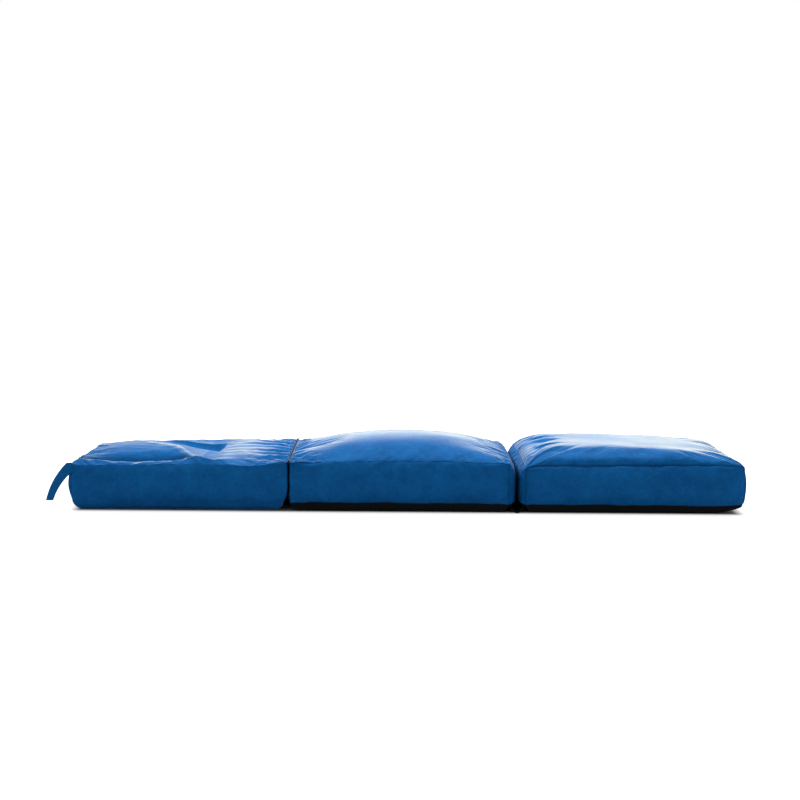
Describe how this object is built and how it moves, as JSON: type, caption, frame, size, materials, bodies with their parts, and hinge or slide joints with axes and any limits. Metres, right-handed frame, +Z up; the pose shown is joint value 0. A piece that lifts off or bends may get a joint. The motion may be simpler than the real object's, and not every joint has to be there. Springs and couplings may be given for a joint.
{
  "type": "folding futon chair",
  "caption": "Boxed, padded cushion sections joined end to end by fabric hinges: laid flat it is a bed, folded it is a low chair.",
  "frame": {"origin": "on the floor, under the middle of the seat section's flat base", "axes": "+X along the length from the back section to the foot section, +Y from the front long side in the picture to the rear one, +Z up"},
  "size_m": [2.8033, 0.7496, 0.2796],
  "materials": {
    "suede": "short-napped blue faux suede with a soft pale sheen",
    "base_cloth": "matt black dotted base cloth",
    "fibre": "loose white polyester fibre",
    "foam": "open-cell upholstery foam",
    "zip_tape": "woven tape with a nylon coil",
    "zip_metal": "nickel-grey enamelled zinc"
  },
  "bodies": {
    "back": {"back_top_panel": "suede", "back_base_panel": "suede", "back_front_panel": "suede", "back_rear_panel": "suede", "back_free_end_panel": "suede", "back_hinge_end_panel": "suede", "back_fibre_wrap": "fibre", "back_foam_core": "foam", "back_zip_upper_tape": "zip_tape", "back_zip_lower_tape": "zip_tape"},
    "seat": {"seat_top_panel": "suede", "seat_base_panel": "base_cloth", "seat_front_panel": "suede", "seat_rear_panel": "suede", "seat_hinge_end_panel": "suede", "seat_knee_end_panel": "suede", "seat_fibre_wrap": "fibre", "seat_foam_core": "foam", "seat_zip_upper_tape": "zip_tape", "seat_zip_lower_tape": "zip_tape", "upper_hinge_welt": "suede", "lower_hinge_strip": "base_cloth"},
    "foot": {"foot_top_panel": "suede", "foot_base_panel": "base_cloth", "foot_front_panel": "suede", "foot_rear_panel": "suede", "foot_knee_end_panel": "suede", "foot_free_end_panel": "suede", "foot_fibre_wrap": "fibre", "foot_foam_core": "foam", "foot_zip_upper_tape": "zip_tape", "foot_zip_lower_tape": "zip_tape"},
    "front_strap": {"front_strap": "suede"},
    "rear_strap": {"rear_strap": "suede"},
    "back_zip_slider": {"back_zip_slider": "zip_metal"},
    "back_zip_puller": {"back_zip_puller": "zip_metal"},
    "seat_zip_slider": {"seat_zip_slider": "zip_metal"},
    "seat_zip_puller": {"seat_zip_puller": "zip_metal"},
    "foot_zip_slider": {"foot_zip_slider": "zip_metal"},
    "foot_zip_puller": {"foot_zip_puller": "zip_metal"}
  },
  "joints": [
    {"name": "back_fold", "type": "hinge", "parent": "seat", "child": "back", "pos_m": [-0.444, 0, 0.2], "axis": [0, 1, 0], "range_deg": [0, 150]},
    {"name": "foot_fold", "type": "hinge", "parent": "seat", "child": "foot", "pos_m": [0.469, 0, -0.0003], "axis": [0, 1, 0], "range_deg": [0, 180], "deforming": ["lower_hinge_strip"]},
    {"name": "front_strap_swing", "type": "hinge", "parent": "back", "child": "front_strap", "pos_m": [-1.31127, -0.34627, 0.168], "axis": [0, 0, 1], "range_deg": [-70, 155]},
    {"name": "rear_strap_swing", "type": "hinge", "parent": "back", "child": "rear_strap", "pos_m": [-1.31127, 0.34627, 0.168], "axis": [0, 0, 1], "range_deg": [0, 225]},
    {"name": "back_zip_slide", "type": "slide", "parent": "back", "child": "back_zip_slider", "axis": [1, 0, 0], "range_m": [-0.5402, 0]},
    {"name": "back_puller_swing", "type": "hinge", "parent": "back_zip_slider", "child": "back_zip_puller", "pos_m": [-0.6099, 0.36278, 0.1145], "axis": [1, 0, 0], "range_deg": [0, 170]},
    {"name": "seat_zip_slide", "type": "slide", "parent": "seat", "child": "seat_zip_slider", "axis": [1, 0, 0], "range_m": [-0.5402, 0]},
    {"name": "seat_puller_swing", "type": "hinge", "parent": "seat_zip_slider", "child": "seat_zip_puller", "pos_m": [0.2701, 0.36278, 0.117], "axis": [1, 0, 0], "range_deg": [0, 170]},
    {"name": "foot_zip_slide", "type": "slide", "parent": "foot", "child": "foot_zip_slider", "axis": [1, 0, 0], "range_m": [-0.5402, 0]},
    {"name": "foot_puller_swing", "type": "hinge", "parent": "foot_zip_slider", "child": "foot_zip_puller", "pos_m": [1.2081, 0.36278, 0.1125], "axis": [1, 0, 0], "range_deg": [0, 170]}
  ]
}
